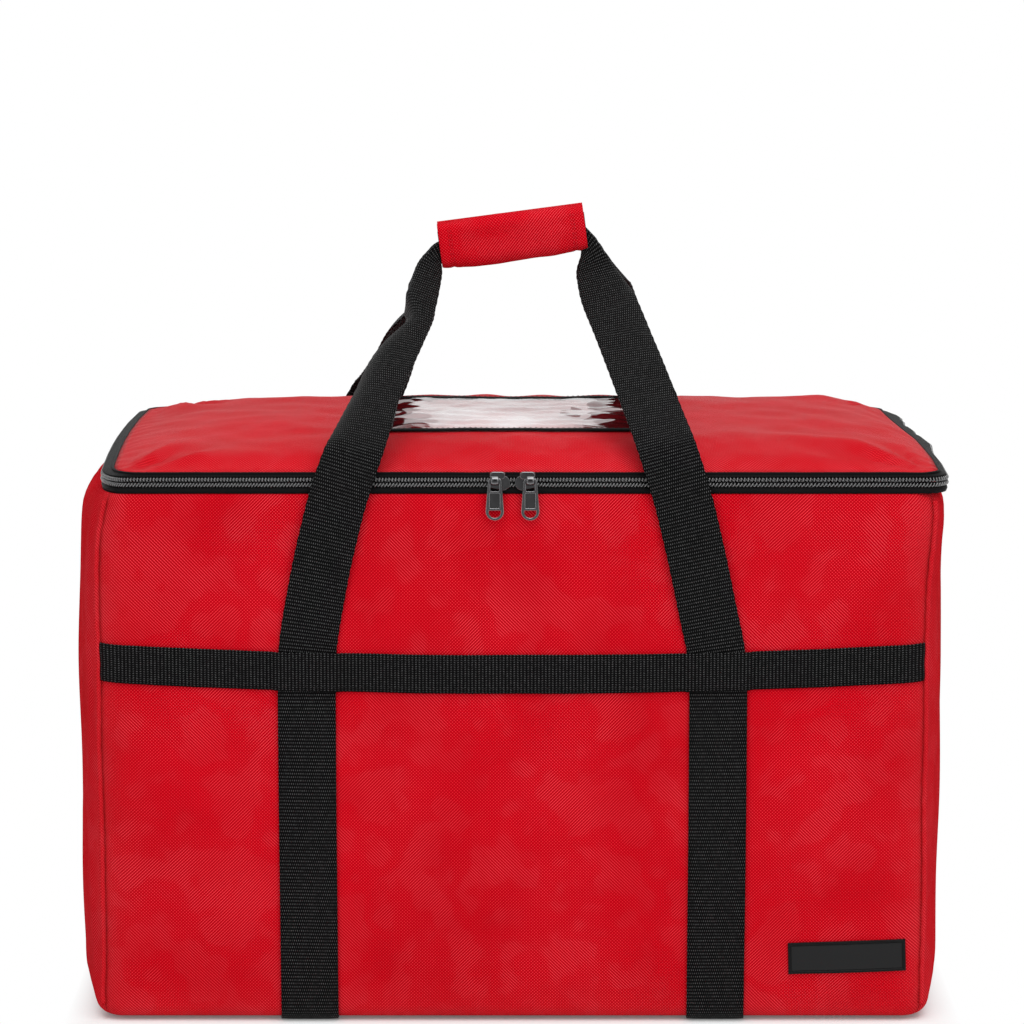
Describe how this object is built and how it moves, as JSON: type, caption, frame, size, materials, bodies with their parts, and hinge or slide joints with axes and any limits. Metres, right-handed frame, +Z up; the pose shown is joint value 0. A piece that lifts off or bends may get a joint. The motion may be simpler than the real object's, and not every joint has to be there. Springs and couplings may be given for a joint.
{
  "type": "insulated cooler tote bag",
  "caption": "Soft boxy insulated tote with a zipped padded lid, clear pocket on top, webbing carry handles joined by a padded grip wrap, foil liner and foam walls.",
  "frame": {"origin": "centre of the bag's footprint, on the surface it stands on", "axes": "+Z up; the front with the patch and the zip sliders looks along -Y; +X to the right as seen from the front"},
  "size_m": [0.598, 0.353, 0.5338],
  "materials": {
    "red_cloth": "coated polyester weave",
    "webbing": "ribbed webbing",
    "zip_tape": "woven tape",
    "coil": "nylon coil",
    "dark_metal": "gunmetal",
    "foil": "foil faced sheet",
    "foam": "closed cell foam",
    "board": "stiff board",
    "clear_sheet": "clear flexible sheet",
    "patch": "moulded patch"
  },
  "bodies": {
    "bag_body": {"front_panel": "red_cloth", "right_panel": "red_cloth", "back_panel": "red_cloth", "left_panel": "red_cloth", "bottom_panel": "red_cloth", "front_foam_board": "foam", "right_foam_board": "foam", "back_foam_board": "foam", "left_foam_board": "foam", "bottom_foam_board": "foam", "base_board": "board", "front_liner": "foil", "right_liner": "foil", "back_liner": "foil", "left_liner": "foil", "bottom_liner": "foil", "corner_seam_front_right": "red_cloth", "corner_seam_back_right": "red_cloth", "corner_seam_back_left": "red_cloth", "corner_seam_front_left": "red_cloth", "front_band": "webbing", "back_band": "webbing", "front_strap_run_left": "webbing", "front_strap_run_right": "webbing", "back_strap_run_left": "webbing", "back_strap_run_right": "webbing", "floor_strap_run_left": "webbing", "floor_strap_run_right": "webbing", "front_patch": "patch", "body_zip_tape": "zip_tape", "body_zip_coil": "coil", "hinge_strip_lower": "zip_tape"},
    "lid": {"lid_panel": "red_cloth", "lid_foam_board": "foam", "lid_liner": "foil", "lid_binding": "zip_tape", "lid_zip_tape": "zip_tape", "lid_zip_coil": "coil", "hinge_strip_upper": "zip_tape", "pocket_sheet": "clear_sheet", "pocket_binding": "zip_tape"},
    "front_handle": {"front_handle_bar": "webbing", "front_handle_strap_left": "webbing", "front_handle_strap_right": "webbing", "grip_wrap": "red_cloth"},
    "back_handle": {"back_handle_bar": "webbing", "back_handle_strap_left": "webbing", "back_handle_strap_right": "webbing"},
    "grip_flap": {"grip_flap": "red_cloth"},
    "slider_left": {"slider_left": "dark_metal"},
    "slider_right": {"slider_right": "dark_metal"},
    "pull_left": {"pull_left": "dark_metal"},
    "pull_right": {"pull_right": "dark_metal"}
  },
  "joints": [
    {"name": "lid_hinge", "type": "hinge", "parent": "bag_body", "child": "lid", "pos_m": [0, 0.1654, 0.36065], "axis": [-1, 0, 0], "range_deg": [0, 110]},
    {"name": "front_handle_swing", "type": "hinge", "parent": "bag_body", "child": "front_handle", "pos_m": [0, -0.1722, 0.25355], "axis": [1, 0, 0], "range_deg": [0, 150], "deforming": ["front_handle_strap_left", "front_handle_strap_right"]},
    {"name": "back_handle_swing", "type": "hinge", "parent": "bag_body", "child": "back_handle", "pos_m": [0, 0.1722, 0.25355], "axis": [-1, 0, 0], "range_deg": [0, 150], "deforming": ["back_handle_strap_left", "back_handle_strap_right"]},
    {"name": "grip_flap_hinge", "type": "hinge", "parent": "front_handle", "child": "grip_flap", "pos_m": [-0.00213, 0.00545, 0.52716], "axis": [0.9914, 0, 0.1305], "range_deg": [0, 150]},
    {"name": "slider_left_travel", "type": "slide", "parent": "bag_body", "child": "slider_left", "axis": [-1, 0, 0], "range_m": [0, 0.235]},
    {"name": "slider_right_travel", "type": "slide", "parent": "bag_body", "child": "slider_right", "axis": [1, 0, 0], "range_m": [0, 0.235]},
    {"name": "pull_left_flip", "type": "hinge", "parent": "slider_left", "child": "pull_left", "pos_m": [-0.0116, -0.1697, 0.367], "axis": [-1, 0, 0], "range_deg": [0, 150]},
    {"name": "pull_right_flip", "type": "hinge", "parent": "slider_right", "child": "pull_right", "pos_m": [0.0116, -0.1697, 0.367], "axis": [-1, 0, 0], "range_deg": [0, 150]}
  ],
  "couplings": [
    {"joint": "front_handle_swing", "follows": "lid_hinge", "ratio": 1.36},
    {"joint": "back_handle_swing", "follows": "lid_hinge", "ratio": 1.36},
    {"joint": "grip_flap_hinge", "follows": "lid_hinge", "ratio": 1.36}
  ]
}
